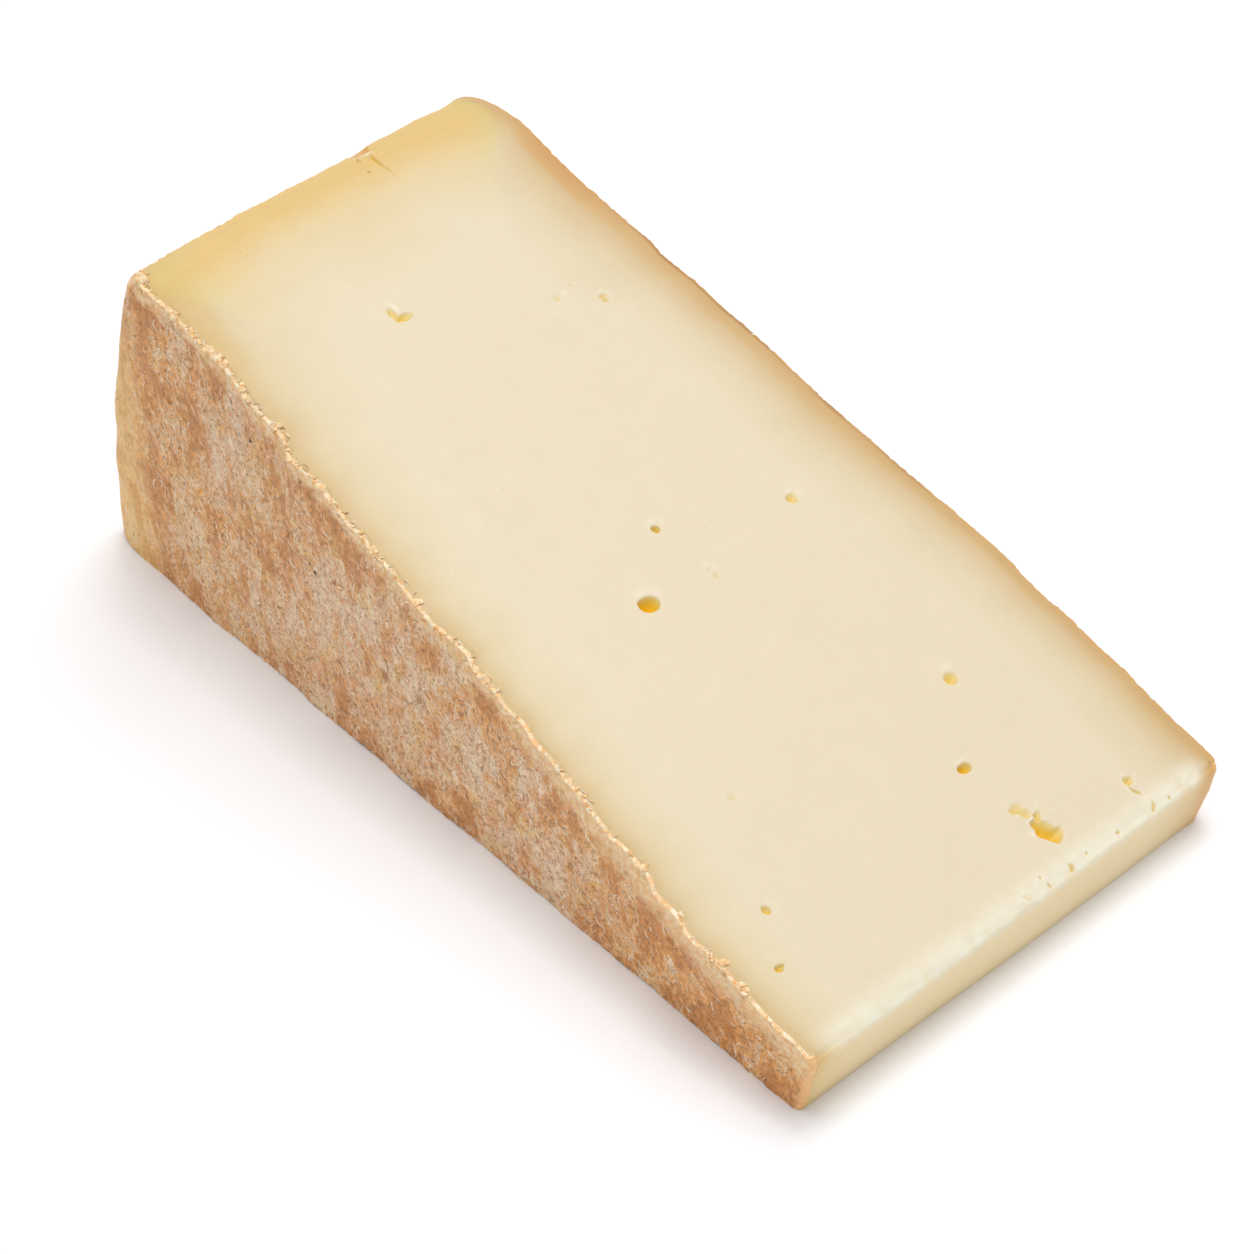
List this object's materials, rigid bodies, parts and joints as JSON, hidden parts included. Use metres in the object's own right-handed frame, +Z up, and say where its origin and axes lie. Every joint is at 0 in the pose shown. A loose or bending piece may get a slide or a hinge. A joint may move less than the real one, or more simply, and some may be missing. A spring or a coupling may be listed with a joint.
{
  "type": "cheese wedge",
  "caption": "Thick wedge cut from a pressed, rind-ripened cheese wheel, lying on a cut face, with rind on both flat sides and on the thick rim end, a blunt nose and a few small eyes.",
  "frame": {"origin": "middle of the footprint, on the surface that the wedge lies on", "axes": "+X from the thick rim end to the thin nose, +Y from the left rind side to the right rind side, +Z up"},
  "size_m": [0.1762, 0.0842, 0.0604],
  "materials": {
    "cheese": "satin cream paste with a dry tan rind"
  },
  "bodies": {
    "root": {"cheese_wedge": "cheese"}
  },
  "joints": []
}
